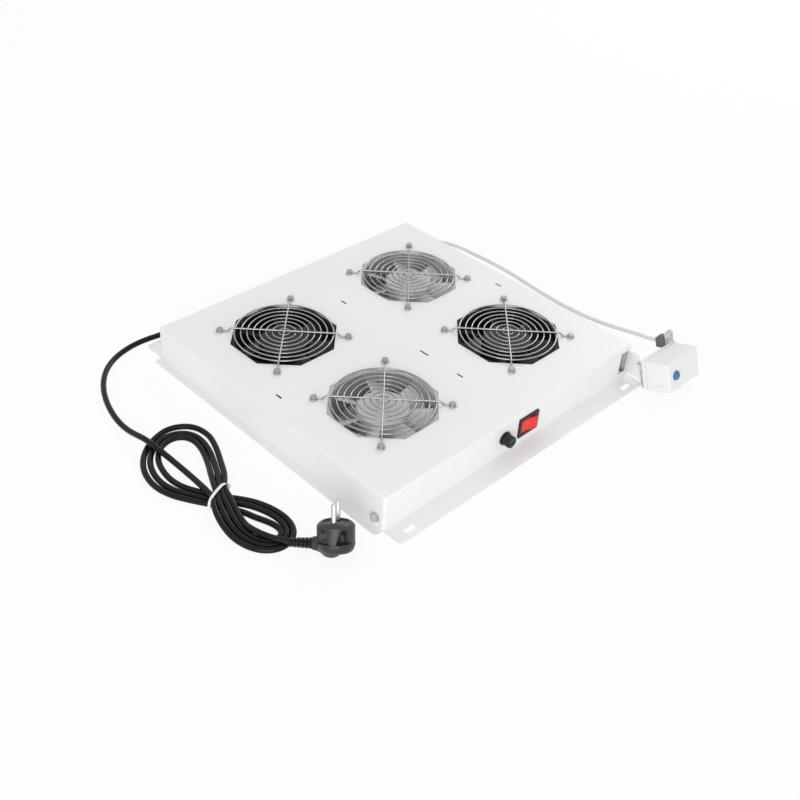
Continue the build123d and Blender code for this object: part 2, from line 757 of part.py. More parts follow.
def fuse_nut():
    inside = -HALF_DEEP + SHEET
    nut = hexagon_rod(fuse_axis(inside), (0, 1, 0), FUSE_NUT_ACROSS, FUSE_NUT_HIGH)
    return nut - rod(fuse_axis(inside), (0, 1, 0), FUSE_BARREL_R + SEAT_GAP / 2, FUSE_NUT_HIGH)


def fuse_cap():
    seat = -HALF_DEEP - FUSE_FLANGE - FUSE_CAP_GAP
    cap = rod(fuse_axis(seat), (0, -1, 0), FUSE_CAP_R, FUSE_CAP_LONG)
    cap = fillet(cap.edges().sort_by(Axis.Y)[0], FUSE_CAP_EDGE)
    flute = rod((FUSE_CAP_R, 0, 0), (0, -1, 0), FUSE_FLUTE_R, 2 * FUSE_CAP_LONG)
    for index in range(FUSE_CAP_FLUTES):
        cap -= Pos(*fuse_axis(seat - FUSE_FLANGE)) * Rot(0, index * 360 / FUSE_CAP_FLUTES, 0) * flute
    end = seat - FUSE_CAP_LONG
    cap -= block(
        (FUSE_X - FUSE_CAP_R, end - FUSE_CAP_SLOT, PANEL_MIDDLE_Z - FUSE_CAP_SLOT / 2),
        (FUSE_X + FUSE_CAP_R, end + FUSE_CAP_SLOT, PANEL_MIDDLE_Z + FUSE_CAP_SLOT / 2),
    )
    cap += rod(fuse_axis(seat), (0, 1, 0), FUSE_BORE_R - RUN_FIT, FUSE_STEM_LONG)
    socket = fuse_axis(seat + FUSE_STEM_LONG - FUSE_SOCKET_DEEP)
    return cap - rod(socket, (0, 1, 0), FUSE_LINK_R, FUSE_SOCKET_DEEP)


def fuse_link():
    start = -HALF_DEEP - FUSE_FLANGE - FUSE_CAP_GAP + FUSE_STEM_LONG - FUSE_SOCKET_DEEP
    return rod(fuse_axis(start), (0, 1, 0), FUSE_LINK_R, FUSE_LINK_LONG)


def fuse_terminals():
    back = -HALF_DEEP + FUSE_BARREL_LONG
    return blade_tabs(FUSE_X, back, PANEL_MIDDLE_Z, 1, 0)


# Thermostat

def stat_housing():
    body = block((0, -STAT_DEEP, 0), (STAT_LONG, -STAT_BACK, STAT_HIGH))
    body = fillet(body.faces().sort_by(Axis.Y)[0].edges(), STAT_EDGE)
    grip = block(
        (-STAT_GRIP_DEEP, -STAT_GRIP_FROM - STAT_GRIP_LONG, STAT_GRIP_IN),
        (STAT_GRIP_DEEP, -STAT_GRIP_FROM, STAT_HIGH - STAT_GRIP_IN),
    )
    axis = (DIAL_X, -STAT_DEEP, STAT_HIGH / 2)
    well = rod(axis, (0, 1, 0), DIAL_R + DIAL_GAP, DIAL_WELL)
    bearing = rod(axis, (0, 1, 0), DIAL_SHAFT_R + RUN_FIT, DIAL_WELL + DIAL_SHAFT_LONG)
    return stat_plane() * (body - grip - well - bearing)


def stat_base():
    base = block((0, -STAT_BACK, 0), (STAT_LONG, 0, STAT_HIGH))
    seam = block(
        (STAT_SEAM, -STAT_BACK - STAT_SEAM, STAT_SEAM),
        (STAT_LONG - STAT_SEAM, -STAT_BACK + STAT_SEAM, STAT_HIGH - STAT_SEAM),
    )
    ring = block((0, -STAT_BACK, 0), (STAT_LONG, -STAT_BACK + STAT_SEAM, STAT_HIGH)) - seam
    return stat_plane() * (base - ring)


def stat_dial():
    front = -STAT_DEEP + DIAL_WELL - DIAL_FLOOR_GAP
    dial = rod((DIAL_X, front, STAT_HIGH / 2), (0, -1, 0), DIAL_R, DIAL_HIGH)
    dial = chamfer(dial.edges().sort_by(Axis.Y)[0], DIAL_EDGE)
    dial -= block(
        (DIAL_X - DIAL_POINTER / 2, front - 2 * DIAL_HIGH, STAT_HIGH / 2),
        (DIAL_X + DIAL_POINTER / 2, front - DIAL_HIGH + DIAL_POINTER_DEEP, STAT_HIGH / 2 + 2 * DIAL_R),
    )
    dial += rod((DIAL_X, front, STAT_HIGH / 2), (0, 1, 0), DIAL_SHAFT_R, DIAL_SHAFT_LONG)
    return stat_plane() * dial


def stat_bracket():
    start = -BRACKET_OVERHANG
    end = start + BRACKET_LONG
    plate = block((start, 0, BRACKET_FOOT), (end, BRACKET, BRACKET_FOOT + BRACKET_HIGH))
    top = BRACKET_FOOT + BRACKET_HIGH
    lip = block((start, 0, top - BRACKET), (end, BRACKET_LIP, top))
    lug = block((LUG_FROM, 0, BRACKET_FOOT), (LUG_FROM + LUG_LONG, BRACKET, top + LUG_HIGH))
    lug = chamfer(lug.edges().filter_by(Axis.Y).sort_by(Axis.Z)[-2:], LUG_CORNER)
    return stat_plane() * (plate + lip + lug) - rivet_holes()


def rivets():
    parts = []
    for x, z in rivet_places():
        shank = rod((x, 0, z), (0, 1, 0), RIVET_R, BRACKET + SHEET)
        head = rod((x, BRACKET + SHEET, z), (0, 1, 0), RIVET_HEAD_R, RIVET_HEAD)
        parts.append(stat_plane() * (shank + head))
    return parts


def stat_boot():
    top = BRACKET_FOOT + BRACKET_HIGH
    start = LUG_FROM - BOOT_BESIDE_LUG
    boot = block((start, BRACKET, top), (start + BOOT_LONG, BRACKET + BOOT_DEEP, top + BOOT_HIGH))
    boot = chamfer(boot.faces().sort_by(Axis.Z)[-1].edges(), BOOT_EDGE)
    return stat_plane() * boot


# Glands and earth screw

def mains_gland():
    wall = HALF_DEEP
    flange = rod((GLAND_X, wall, GLAND_Z), (0, 1, 0), GLAND_FLANGE_R, GLAND_FLANGE)
    neck = rod((GLAND_X, wall, GLAND_Z), (0, -1, 0), GLAND_HOLE_R - GLAND_FIT, SHEET + 2 * GLAND_NUT_HIGH)
    tail_start = outward((GLAND_X, wall + GLAND_FLANGE, GLAND_Z), (0, 1, 0))
    tail_end = outward((GLAND_X, MAINS_ROUTE[0][1], GLAND_Z), (0, 1, 0))
    tail = loft([tail_start * Circle(GLAND_TAIL_R), tail_end * Circle(MAINS_R + GLAND_LIP)])
    return flange + neck + tail


def gland_nut():
    inside = HALF_DEEP - SHEET
    nut = hexagon_rod((GLAND_X, inside, GLAND_Z), (0, -1, 0), GLAND_NUT_ACROSS, GLAND_NUT_HIGH)
    bore = GLAND_HOLE_R - GLAND_FIT + RUN_FIT
    return nut - rod((GLAND_X, inside, GLAND_Z), (0, -1, 0), bore, GLAND_NUT_HIGH)


def lead_bush():
    wall = HALF_LONG
    flange = rod((wall, BUSH_Y, BUSH_Z), (1, 0, 0), BUSH_FLANGE_R, BUSH_FLANGE)
    tail = rod((wall, BUSH_Y, BUSH_Z), (1, 0, 0), LEAD_R + BUSH_WALL, LEAD_ROUTE[0][0] - wall)
    neck = rod((wall, BUSH_Y, BUSH_Z), (-1, 0, 0), BUSH_HOLE_R - SEAT_GAP, SHEET)
    inner = rod((wall - SHEET, BUSH_Y, BUSH_Z), (-1, 0, 0), BUSH_FLANGE_R, BUSH_FLANGE)
    return flange + tail + neck + inner


def earth_screw():
    wall = -HALF_LONG - EARTH_WASHER
    head = hexagon_rod((wall, EARTH_Y, EARTH_Z), (-1, 0, 0), EARTH_HEAD_ACROSS, EARTH_HEAD)
    shank_long = EARTH_WASHER + SHEET + EARTH_NUT_HIGH + EARTH_TAIL
    return head + rod((wall, EARTH_Y, EARTH_Z), (1, 0, 0), EARTH_SCREW_R, shank_long)


def earth_washer():
    washer = rod((-HALF_LONG, EARTH_Y, EARTH_Z), (-1, 0, 0), EARTH_WASHER_R, EARTH_WASHER)
    return washer - rod((-HALF_LONG, EARTH_Y, EARTH_Z), (-1, 0, 0), EARTH_SCREW_R + RUN_FIT, EARTH_WASHER)


def earth_nut():
    inside = -HALF_LONG + SHEET
    nut = hexagon_rod((inside, EARTH_Y, EARTH_Z), (1, 0, 0), EARTH_HEAD_ACROSS, EARTH_NUT_HIGH)
    return nut - rod((inside, EARTH_Y, EARTH_Z), (1, 0, 0), EARTH_SCREW_R + RUN_FIT, EARTH_NUT_HIGH)


# Terminal block

def block_studs():
    stud = upright(BLOCK_STUD_R, FAN_TOP - BLOCK_BASE - BLOCK_NUT_HIGH - BLOCK_STUD_TAIL, FAN_TOP)
    return [Pos(FANS_MIDDLE[0] + side * BLOCK_STUD_PITCH / 2, FANS_MIDDLE[1], 0) * stud for side in (-1, 1)]


def block_nuts():
    top = FAN_TOP - BLOCK_BASE
    nut = hexagon_rod((0, 0, top - BLOCK_NUT_HIGH), (0, 0, 1), BLOCK_NUT_ACROSS, BLOCK_NUT_HIGH)
    nut -= upright(BLOCK_STUD_R + RUN_FIT, top - BLOCK_NUT_HIGH, top)
    return [Pos(FANS_MIDDLE[0] + side * BLOCK_STUD_PITCH / 2, FANS_MIDDLE[1], 0) * nut for side in (-1, 1)]


def way_middles():
    return [(index - (BLOCK_WAYS - 1) / 2) * BLOCK_WAY_PITCH for index in range(BLOCK_WAYS)]


def block_bottom():
    return FAN_TOP - BLOCK_HIGH


def terminal_block():
    half_long = BLOCK_LONG / 2
    body = block((-half_long, -BLOCK_DEEP / 2, FAN_TOP - BLOCK_BASE), (half_long, BLOCK_DEEP / 2, FAN_TOP))
    half_way = (BLOCK_WAY_PITCH - BLOCK_TOWER_GAP) / 2
    for x in way_middles():
        tower = block(
            (x - half_way, -BLOCK_TOWER_DEEP / 2, block_bottom()),
            (x + half_way, BLOCK_TOWER_DEEP / 2, FAN_TOP - BLOCK_BASE),
        )
        body += tower
        for end in (-1, 1):
            seat = Pos(x, end * BLOCK_SCREW_PITCH / 2, 0)
            top = block_bottom() + BLOCK_SCREW_HIGH
            body -= seat * upright(BLOCK_SCREW_R + SEAT_GAP, block_bottom(), top)
    stud_hole = upright(BLOCK_STUD_R + SEAT_GAP, block_bottom(), FAN_TOP)
    body -= [Pos(side * BLOCK_STUD_PITCH / 2, 0, 0) * stud_hole for side in (-1, 1)]
    return Pos(*FANS_MIDDLE, 0) * body


def terminal_screws():
    screws = []
    top = block_bottom() + BLOCK_SCREW_HIGH
    for x in way_middles():
        for end in (-1, 1):
            place = Pos(FANS_MIDDLE[0] + x, FANS_MIDDLE[1] + end * BLOCK_SCREW_PITCH / 2, 0)
            screws.append(place * upright(BLOCK_SCREW_R, top - BLOCK_SCREW_HIGH + SEAT_GAP, top))
    return screws


# Cords

def cord_tube(name, route, radius):
    corners = [Vector(*point) for point in route]
    runs = [after - before for before, after in zip(corners, corners[1:])]
    radii = []
    for before, after in zip(runs, runs[1:]):
        half_turn = math.radians(before.get_angle(after)) / 2
        radii.append(0.45 * min(before.length, after.length) / math.tan(half_turn))
    path = FilletPolyline(*corners, radius=radii)
    tube = sweep(outward(path @ 0, path % 0) * Circle(radius), path=path)
    section = math.pi * radius ** 2
    print(name, "radii", [round(value, 1) for value in radii], "length", round(path.length, 1))
    print(name, "volume over section times length", round(tube.volume / (section * path.length), 5))
    return tube


def lobe(outer, inner):
    outline = make_face(Spline(*outer, periodic=True)) - make_face(Spline(*inner, periodic=True))
    return extrude(outline, HANK_HIGH)


def cord_hank():
    half_wide = WAIST_WIDE / 2
    half_long = WAIST_LONG / 2
    waist = Rot(0, 0, HANK_TURN) * block((-half_wide, -half_long, 0), (half_wide, half_long, HANK_HIGH))
    hank = lobe(UPPER_OUTER, UPPER_INNER) + lobe(LOWER_OUTER, LOWER_INNER) + Pos(*HANK_TIE, 0) * waist
    hank += block((STRAND_X - MAINS_R, STRAND_FROM, 0), (STRAND_X + MAINS_R, STRAND_TO, STRAND_HIGH))
    reach = 3 * PLUG_R
    beyond = plug_plane() * block((-reach, -reach, -reach), (relief_end(), reach, reach))
    return hank - beyond


def cable_tie():
    wide = WAIST_WIDE + 2 * TIE_GAP
    high = HANK_HIGH + TIE_GAP
    reach = wide / 2 + TIE_THICK
    outer = block((-reach, -TIE_WIDE / 2, 0), (reach, TIE_WIDE / 2, high + TIE_THICK))
    band = outer - block((-wide / 2, -TIE_WIDE, -TIE_THICK), (wide / 2, TIE_WIDE, high))
    head_wide, head_long, head_high = TIE_HEAD
    head = block(
        (reach - TIE_THICK, -head_long / 2, TIE_HEAD_LIFT),
        (reach + head_wide, head_long / 2, TIE_HEAD_LIFT + head_high),
    )
    return Pos(*HANK_TIE, 0) * Rot(0, 0, HANK_TURN) * (band + head)


# Plug, drawn with its pins up and its cord leaving along +X, then laid down

def plug_plane():
    return Plane(origin=PLUG_MIDDLE, x_dir=PLUG_CORD_DIR, z_dir=PLUG_PIN_DIR)


def relief_end():
    return PLUG_NECK_LONG + RELIEF_LONG


def plug_profile():
    face = PLUG_CORD_AXIS
    waist = face - PLUG_SIDE
    back = face - PLUG_DEEP
    return make_face([
        Line((0, face), (PLUG_R - PLUG_EDGE, face)),
        Line((PLUG_R - PLUG_EDGE, face), (PLUG_R, face - PLUG_EDGE)),
        Line((PLUG_R, face - PLUG_EDGE), (PLUG_R, waist)),
        Line((PLUG_R, waist), (PLUG_BACK_R, back + PLUG_EDGE)),
        Line((PLUG_BACK_R, back + PLUG_EDGE), (PLUG_BACK_R - PLUG_EDGE, back)),
        Line((PLUG_BACK_R - PLUG_EDGE, back), (0, back)),
        Line((0, back), (0, face)),
    ])


def plug_body():
    body = revolve(Plane.XZ * plug_profile(), Axis.Z).rotate(Axis.Z, 30)
    root = outward((PLUG_NECK_FROM, 0, 0), (1, 0, 0))
    end = outward((PLUG_NECK_LONG, 0, 0), (1, 0, 0))
    neck = loft([root * Circle(PLUG_BULGE_R - PLUG_EDGE), end * Circle(PLUG_NECK_R)])
    bulge = Pos(PLUG_BULGE_X, 0, 0) * Rot(15, 35, 50) * Sphere(PLUG_BULGE_R)
    body = body + neck + bulge
    for side, end in CORNERS:
        place = Pos(end * PLUG_SCOOP_X, side * PLUG_SCOOP_Y, PLUG_SCOOP_Z)
        body -= place * Rot(20, 30, 40) * Sphere(PLUG_SCOOP_R)
    return plug_plane() * body


def plug_pins():
    pins = []
    for side in (-1, 1):
        foot = (0, side * PIN_PITCH / 2, PLUG_CORD_AXIS)
        pin = rod(foot, (0, 0, 1), PIN_R, PIN_LONG)
        pins.append(plug_plane() * fillet(pin.edges().sort_by(Axis.Z)[-1], PIN_TIP))
    return pins


def plug_relief():
    start = outward((PLUG_NECK_LONG, 0, 0), (1, 0, 0))
    end = outward((relief_end(), 0, 0), (1, 0, 0))
    relief = loft([start * Circle(RELIEF_ROOT_R), end * Circle(RELIEF_END_R)])
    pitch = RELIEF_LONG / (RELIEF_RIBS + 1)
    for index in range(RELIEF_RIBS):
        x = PLUG_NECK_LONG + (index + 1) * pitch
        ring = rod((x - RELIEF_GROOVE / 2, 0, 0), (1, 0, 0), 2 * RELIEF_ROOT_R, RELIEF_GROOVE)
        core = rod((x - RELIEF_GROOVE, 0, 0), (1, 0, 0), RELIEF_END_R - RELIEF_GROOVE_DEEP, 2 * RELIEF_GROOVE)
        relief -= ring - core
    return plug_plane() * relief


def main():
    os.makedirs("parts", exist_ok=True)
    nodes = {
        "tray_pan": tray_pan(),
        "guard_screws": at_every_fan_hole(guard_screw()),
        "guard_nuts": at_every_fan_hole(guard_nut()),
        "switch_housing": switch_housing(),
        "switch_rocker": switch_rocker(),
        "switch_terminals": switch_terminals(),
        "fuse_holder": fuse_holder(),
        "fuse_nut": fuse_nut(),
        "fuse_cap": fuse_cap(),
        "fuse_link": fuse_link(),
        "fuse_terminals": fuse_terminals(),
        "thermostat_housing": stat_housing(),
        "thermostat_base": stat_base(),
        "thermostat_dial": stat_dial(),
        "thermostat_bracket": stat_bracket(),
        "bracket_rivets": rivets(),
        "thermostat_boot": stat_boot(),
        "mains_gland": mains_gland(),
        "gland_nut": gland_nut(),
        "lead_bush": lead_bush(),
        "earth_screw": earth_screw(),
        "earth_washer": earth_washer(),
        "earth_nut": earth_nut(),
        "block_studs": block_studs(),
        "block_nuts": block_nuts(),
        "terminal_block": terminal_block(),
        "terminal_screws": terminal_screws(),
        "mains_cord": cord_tube("mains_cord", MAINS_ROUTE, MAINS_R),
        "thermostat_lead": cord_tube("thermostat_lead", LEAD_ROUTE, LEAD_R),
        "cord_hank": cord_hank(),
        "cable_tie": cable_tie(),
        "plug_body": plug_body(),
        "plug_pins": plug_pins(),
        "plug_relief": plug_relief(),
    }
    fan_pieces = {
        "fan_frame_": fan_frame(),
        "fan_motor_mount_": fan_motor_mount(),
        "fan_stator_": fan_stator(),
        "fan_rotor_": fan_rotor(),
        "fan_guard_": fan_guard(),
    }
    for name in FANS:
        for piece, shape in fan_pieces.items():
            nodes[piece + name] = fan_place(name) * shape
    for node, shape in nodes.items():
        if isinstance(shape, list):
            shape = Compound(children=[solid for part in shape for solid in part.solids()])
        export_step(shape, "parts/" + node + ".step")


main()
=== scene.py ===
import bpy
import json
import math
from mathutils import Matrix, Vector


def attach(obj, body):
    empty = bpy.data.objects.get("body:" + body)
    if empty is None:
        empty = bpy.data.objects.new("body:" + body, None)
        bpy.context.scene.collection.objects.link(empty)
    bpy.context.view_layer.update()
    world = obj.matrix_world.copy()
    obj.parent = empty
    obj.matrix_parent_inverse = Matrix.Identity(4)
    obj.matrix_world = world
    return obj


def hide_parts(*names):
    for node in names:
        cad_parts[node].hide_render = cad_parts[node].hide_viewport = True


# The looks of a rack fan tray: folded white tray, four guarded fans, switch, fuse, thermostat and cords.
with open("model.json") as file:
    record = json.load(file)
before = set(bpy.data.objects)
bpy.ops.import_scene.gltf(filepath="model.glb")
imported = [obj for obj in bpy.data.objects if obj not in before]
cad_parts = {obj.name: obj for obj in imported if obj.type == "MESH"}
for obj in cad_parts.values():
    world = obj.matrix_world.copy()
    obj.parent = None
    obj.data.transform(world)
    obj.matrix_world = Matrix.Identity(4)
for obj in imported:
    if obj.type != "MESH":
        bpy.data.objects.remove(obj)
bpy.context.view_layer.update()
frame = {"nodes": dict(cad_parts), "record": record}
MM = 0.001

# Camera, in the part's frame
CAMERA_AZIMUTH = math.radians(-46.28)
CAMERA_ELEVATION = math.radians(37.98)
CAMERA_ROLL = math.radians(3.61)
CAMERA_TARGET = Vector((-81.8, -88.77, 44.0)) * MM
CAMERA_DISTANCE = 1130.8 * MM
CAMERA_LENS = 47.46
CAMERA_SENSOR = 36.0

# Light and background: lamps and floor in metres, the tray's half sizes in millimetres
WORLD_LIGHT = 0.74
BACKGROUND = 1.0
KEY_PLACE = (1.9, 0.5, 1.3)
KEY_SIZE = 0.8
KEY_LIGHT = 9.0
FILL_PLACE = (-1.6, -1.4, 0.5)
FILL_SIZE = 1.4
FILL_LIGHT = 20.0
FLOOR_COLOUR = (0.92, 0.92, 0.92)
FLOOR_WHITE = 0.9
TRAY_HALF = (200.0, 190.0)
SHADE_SOFT = 4.0
FLOOR_HALF = 6.0

# Cords
MAINS_R = 3.25
MAINS_ROUTE = (
    (-128.0, 202.5, 13.0),
    (-128.0, 211.0, 13.0),
    (-131.5, 219.5, 11.5),
    (-139.5, 225.0, 9.0),
    (-150.5, 226.5, 6.3),
    (-163.0, 226.3, 4.5),
    (-177.0, 227.0, 3.7),
    (-196.0, 230.5, 3.3),
    (-218.5, 229.5, 3.3),
    (-244.0, 221.5, 3.3),
    (-265.0, 206.5, 3.3),
    (-281.0, 186.0, 3.3),
    (-292.0, 164.0, 3.3),
    (-299.5, 141.0, 3.3),
    (-303.5, 120.0, 3.3),
    (-304.5, 102.0, 4.0),
    (-304.0, 86.0, 6.8),
    (-302.5, 68.5, 10.6),
    (-301.0, 49.5, 10.3),
    (-298.3, 27.0, 7.0),
    (-297.0, 3.0, 5.5),
    (-298.0, -19.0, 7.0),
    (-299.8, -36.0, 9.5),
)
LEAD_R = 2.5
LEAD_ROUTE = (
    (206.0, 152.0, 22.0),
    (218.0, 152.0, 22.0),
    (231.0, 149.0, 19.5),
    (243.0, 142.0, 14.5),
    (254.0, 130.0, 9.0),
    (261.5, 112.0, 4.5),
    (265.5, 90.0, 2.7),
    (265.8, 62.0, 2.7),
    (262.5, 25.0, 2.7),
    (259.0, -13.0, 2.7),
    (257.5, -48.0, 2.7),
    (259.5, -80.0, 2.7),
    (263.0, -108.0, 3.6),
    (265.0, -132.0, 7.3),
    (262.0, -153.0, 13.6),
    (255.3, -170.5, 21.2),
    (247.5, -184.3, 28.0),
    (247.5, -197.54, 32.65),
)

# Hank: how far each strand is from the tie's middle and from the floor where the tie holds it
HANK_TURNS = 3
HANK_TIE = (-295.0, -48.5)
HANK_TIE_TURN = math.radians(22.0)
TIE_OVER = ((-6.6, 9.3), (0.0, 9.3), (6.6, 9.3), (12.8, 7.4))
TIE_UNDER = ((3.3, 3.35), (-3.3, 3.35), (-9.9, 3.35))

# Each station has the middle strand's place, its height, and the gaps to the first and the last turn
LOWER_LOBE = (
    (-304.0, -68.0, 9.9, 6.8, 6.8),
    (-308.5, -84.0, 6.0, 6.6, 6.6),
    (-310.0, -101.8, 3.35, 6.6, 6.4),
    (-307.5, -118.0, 3.35, 6.6, 6.0),
    (-301.0, -130.5, 3.35, 6.6, 6.0),
    (-291.0, -137.5, 3.35, 6.6, 6.0),
    (-279.5, -137.5, 3.35, 6.6, 5.8),
    (-271.0, -130.0, 3.35, 6.6, 5.8),
    (-267.5, -118.0, 3.35, 6.6, 7.6),
    (-268.2, -104.0, 3.35, 6.6, 10.5),
    (-272.0, -89.5, 3.35, 6.6, 12.5),
    (-279.0, -74.5, 3.35, 6.6, 10.5),
)
UPPER_LOBE = (
    (-310.3, -30.9, 3.35, 6.8, 6.8),
    (-320.2, -13.5, 3.35, 8.5, 7.0),
    (-324.6, 6.2, 3.35, 10.0, 8.0),
    (-321.8, 26.4, 3.35, 10.0, 8.0),
    (-314.0, 43.0, 3.35, 8.5, 7.2),
    (-301.9, 55.5, 3.35, 7.0, 6.8),
    (-287.2, 63.0, 3.35, 6.7, 7.5),
    (-271.5, 63.0, 3.35, 6.7, 11.5),
    (-258.5, 54.0, 3.35, 6.7, 13.0),
    (-253.5, 38.0, 3.35, 6.6, 11.0),
    (-257.0, 17.5, 3.35, 6.6, 8.0),
    (-266.0, -4.5, 4.0, 6.6, 6.6),
    (-276.5, -25.0, 7.3, 7.0, 7.0),
)
LAST_RUN = (
    (-288.8, -62.5, 9.9),
    (-294.3, -79.5, 8.4),
    (-298.0, -96.0, 5.0),
    (-298.5, -111.0, 8.6),
    (-296.0, -124.5, 10.3),
    (-290.8, -136.5, 10.2),
    (-280.9, -149.8, 9.6),
)

# Cable tie round the hank
TIE_MIDDLE = 1.3
TIE_HALF = 16.6
TIE_HIGH = 13.3
TIE_WIDE = 3.2
TIE_THICK = 1.0
TIE_ROUND = 3.0
TIE_STEPS = 48
TIE_HEAD = (5.0, 4.6, 3.8)
TIE_HEAD_LIFT = 0.6

# Plug, with its pins up and its cord along X
PLUG_MIDDLE = (-254.9, -182.5, 14.6)
PLUG_CORD_DIR = (-0.62, 0.775, -0.12)
PLUG_PIN_DIR = (0.3342, 0.3994, 0.8537)
PLUG_AROUND = 144
PLUG_FACE = 22.0
PLUG_R = 18.0
PLUG_SHOULDER = 3.0
PLUG_BACK = -7.0
GROOVE_TURN = math.radians(38.0)
GROOVE_DEEP = 7.0
GROOVE_NARROW = math.radians(10.0)
GROOVE_WIDE = math.radians(31.0)
GROOVE_TOP = 18.5
GROOVE_FULL = 12.0
NECK_FROM = 5.0
NECK_TO = 22.0
NECK_ROOT_R = 12.0
NECK_END_R = 6.6
BULGE_MIDDLE = (4.5, 0.0, -0.8)
BULGE_R = 12.6

# How finely the plug and the tie's head are divided
GROOVE_LEVELS = 24
NECK_LEVELS = 14
NECK_AROUND = 48
BULGE_LEVELS = 24
HEAD_AROUND = 24
SHARP_ANGLE = math.radians(35.0)

# Finishes: colour and roughness, their broad mottle and the fine grain, with scales in waves per metre
FINISHES = {
    "tray_paint": dict(
        colour=(0.885, 0.885, 0.875), rough=0.42, mottle=0.01, mottle_scale=14.0, grain_scale=1100.0,
        grain=0.1, grain_deep=0.00006, rough_range=0.05,
    ),
    "bright_wire": dict(
        colour=(0.36, 0.365, 0.37), rough=0.22, metallic=1.0, mottle=0.12, mottle_scale=250.0,
        grain_scale=1500.0, grain=0.05,
    ),
    "black_frame": dict(
        colour=(0.012, 0.013, 0.013), rough=0.45, mottle=0.25, mottle_scale=120.0,
        grain_scale=1300.0, grain=0.3, specular=0.15,
    ),
    "silver_frame": dict(
        colour=(0.5, 0.495, 0.49), rough=0.45, metallic=0.4, mottle=0.06, mottle_scale=90.0,
        grain_scale=1300.0, grain=0.3,
    ),
    "black_impeller": dict(
        colour=(0.022, 0.026, 0.026), rough=0.4, mottle=0.2, mottle_scale=80.0,
        grain_scale=900.0, grain=0.15, specular=0.4,
    ),
    "grey_impeller": dict(
        colour=(0.72, 0.715, 0.71), rough=0.45, metallic=0.1, mottle=0.05, mottle_scale=80.0,
        grain_scale=900.0, grain=0.15,
    ),
    "black_plastic": dict(
        colour=(0.014, 0.014, 0.015), rough=0.34, mottle=0.2, mottle_scale=150.0,
        grain_scale=2200.0, grain=0.25, specular=0.35,
    ),
    "red_plastic": dict(
        colour=(0.85, 0.03, 0.018), rough=0.25, mottle=0.06, mottle_scale=120.0,
        grain_scale=1500.0, grain=0.05, rough_range=0.05, specular=0.35,
    ),
    "tinned_brass": dict(
        colour=(0.6, 0.6, 0.59), rough=0.3, metallic=1.0, mottle=0.1, mottle_scale=300.0,
        grain_scale=1500.0, grain=0.1,
    ),
    "fuse_glass": dict(
        colour=(0.75, 0.8, 0.8), rough=0.1, metallic=0.3, mottle=0.05, mottle_scale=300.0,
        grain_scale=1500.0, grain=0.02,
    ),
    "grey_housing": dict(
        colour=(0.86, 0.865, 0.87), rough=0.5, mottle=0.01, mottle_scale=40.0,
        grain_scale=2400.0, grain=0.3,
    ),
    "blue_dial": dict(
        colour=(0.035, 0.19, 0.36), rough=0.35, mottle=0.08, mottle_scale=150.0,
        grain_scale=2000.0, grain=0.15,
    ),
    "black_rubber": dict(
        colour=(0.006, 0.006, 0.0065), rough=0.26, mottle=0.2, mottle_scale=90.0,
        grain_scale=1400.0, grain=0.2, specular=0.2,
    ),
    "plug_rubber": dict(
        colour=(0.02, 0.0195, 0.02), rough=0.36, mottle=0.15, mottle_scale=110.0,
        grain_scale=1600.0, grain=0.2,
    ),
    "grey_rubber": dict(
        colour=(0.14, 0.14, 0.14), rough=0.45, mottle=0.1, mottle_scale=110.0,
        grain_scale=1600.0, grain=0.2, specular=0.3,
    ),
    "pale_screw": dict(
        colour=(0.34, 0.34, 0.335), rough=0.42, metallic=0.9, mottle=0.08, mottle_scale=300.0,
        grain_scale=1500.0, grain=0.08,
    ),
    "grey_cord": dict(
        colour=(0.8, 0.8, 0.79), rough=0.4, mottle=0.03, mottle_scale=60.0,
        grain_scale=1400.0, grain=0.12, subsurface=0.05,
    ),
    "white_tie": dict(
        colour=(0.88, 0.88, 0.87), rough=0.35, mottle=0.02, mottle_scale=90.0,
        grain_scale=1400.0, grain=0.1, subsurface=0.1,
    ),
}
SUBSURFACE_RADIUS = (0.002, 0.002, 0.002)
ZINC_CELLS = 260.0
ZINC_DARK = (0.42, 0.43, 0.44)
ZINC_LIGHT = (0.66, 0.67, 0.68)
LAMINATION_WAVES = 600.0
LAMINATION_DARK = (0.1, 0.09, 0.085)
LAMINATION_LIGHT = (0.3, 0.28, 0.26)

# The nodes whose finish differs from the other nodes of their slot
OWN_FINISH = {
    "guard_screws": "pale_screw",
    "thermostat_boot": "grey_rubber",
}


# Materials

def new_material(name):
    material = bpy.data.materials.new(name)
    material.use_nodes = True
    tree = material.node_tree
    shader = tree.nodes["Principled BSDF"]
    return material, tree, shader


def object_noise(tree, scale, detail=3.0):
    where = tree.nodes.new("ShaderNodeTexCoord")
    noise = tree.nodes.new("ShaderNodeTexNoise")
    noise.inputs["Scale"].default_value = scale
    noise.inputs["Detail"].default_value = detail
    tree.links.new(where.outputs["Object"], noise.inputs["Vector"])
    return noise


def ramp(tree, factor, low, high, start=0.3, end=0.7):
    node = tree.nodes.new("ShaderNodeValToRGB")
    node.color_ramp.elements[0].position = start
    node.color_ramp.elements[0].color = (*low, 1.0)
    node.color_ramp.elements[1].position = end
    node.color_ramp.elements[1].color = (*high, 1.0)
    tree.links.new(factor, node.inputs["Fac"])
    return node.outputs["Color"]


def spread(tree, factor, low, high):
    node = tree.nodes.new("ShaderNodeMapRange")
    node.inputs["To Min"].default_value = low
    node.inputs["To Max"].default_value = high
    tree.links.new(factor, node.inputs["Value"])
    return node.outputs["Result"]


def bump(tree, shader, height, strength, distance):
    node = tree.nodes.new("ShaderNodeBump")
    node.inputs["Strength"].default_value = strength
    node.inputs["Distance"].default_value = distance
    tree.links.new(height, node.inputs["Height"])
    tree.links.new(node.outputs["Normal"], shader.inputs["Normal"])


def shade(colour, factor):
    return tuple(min(1.0, part * factor) for part in colour)


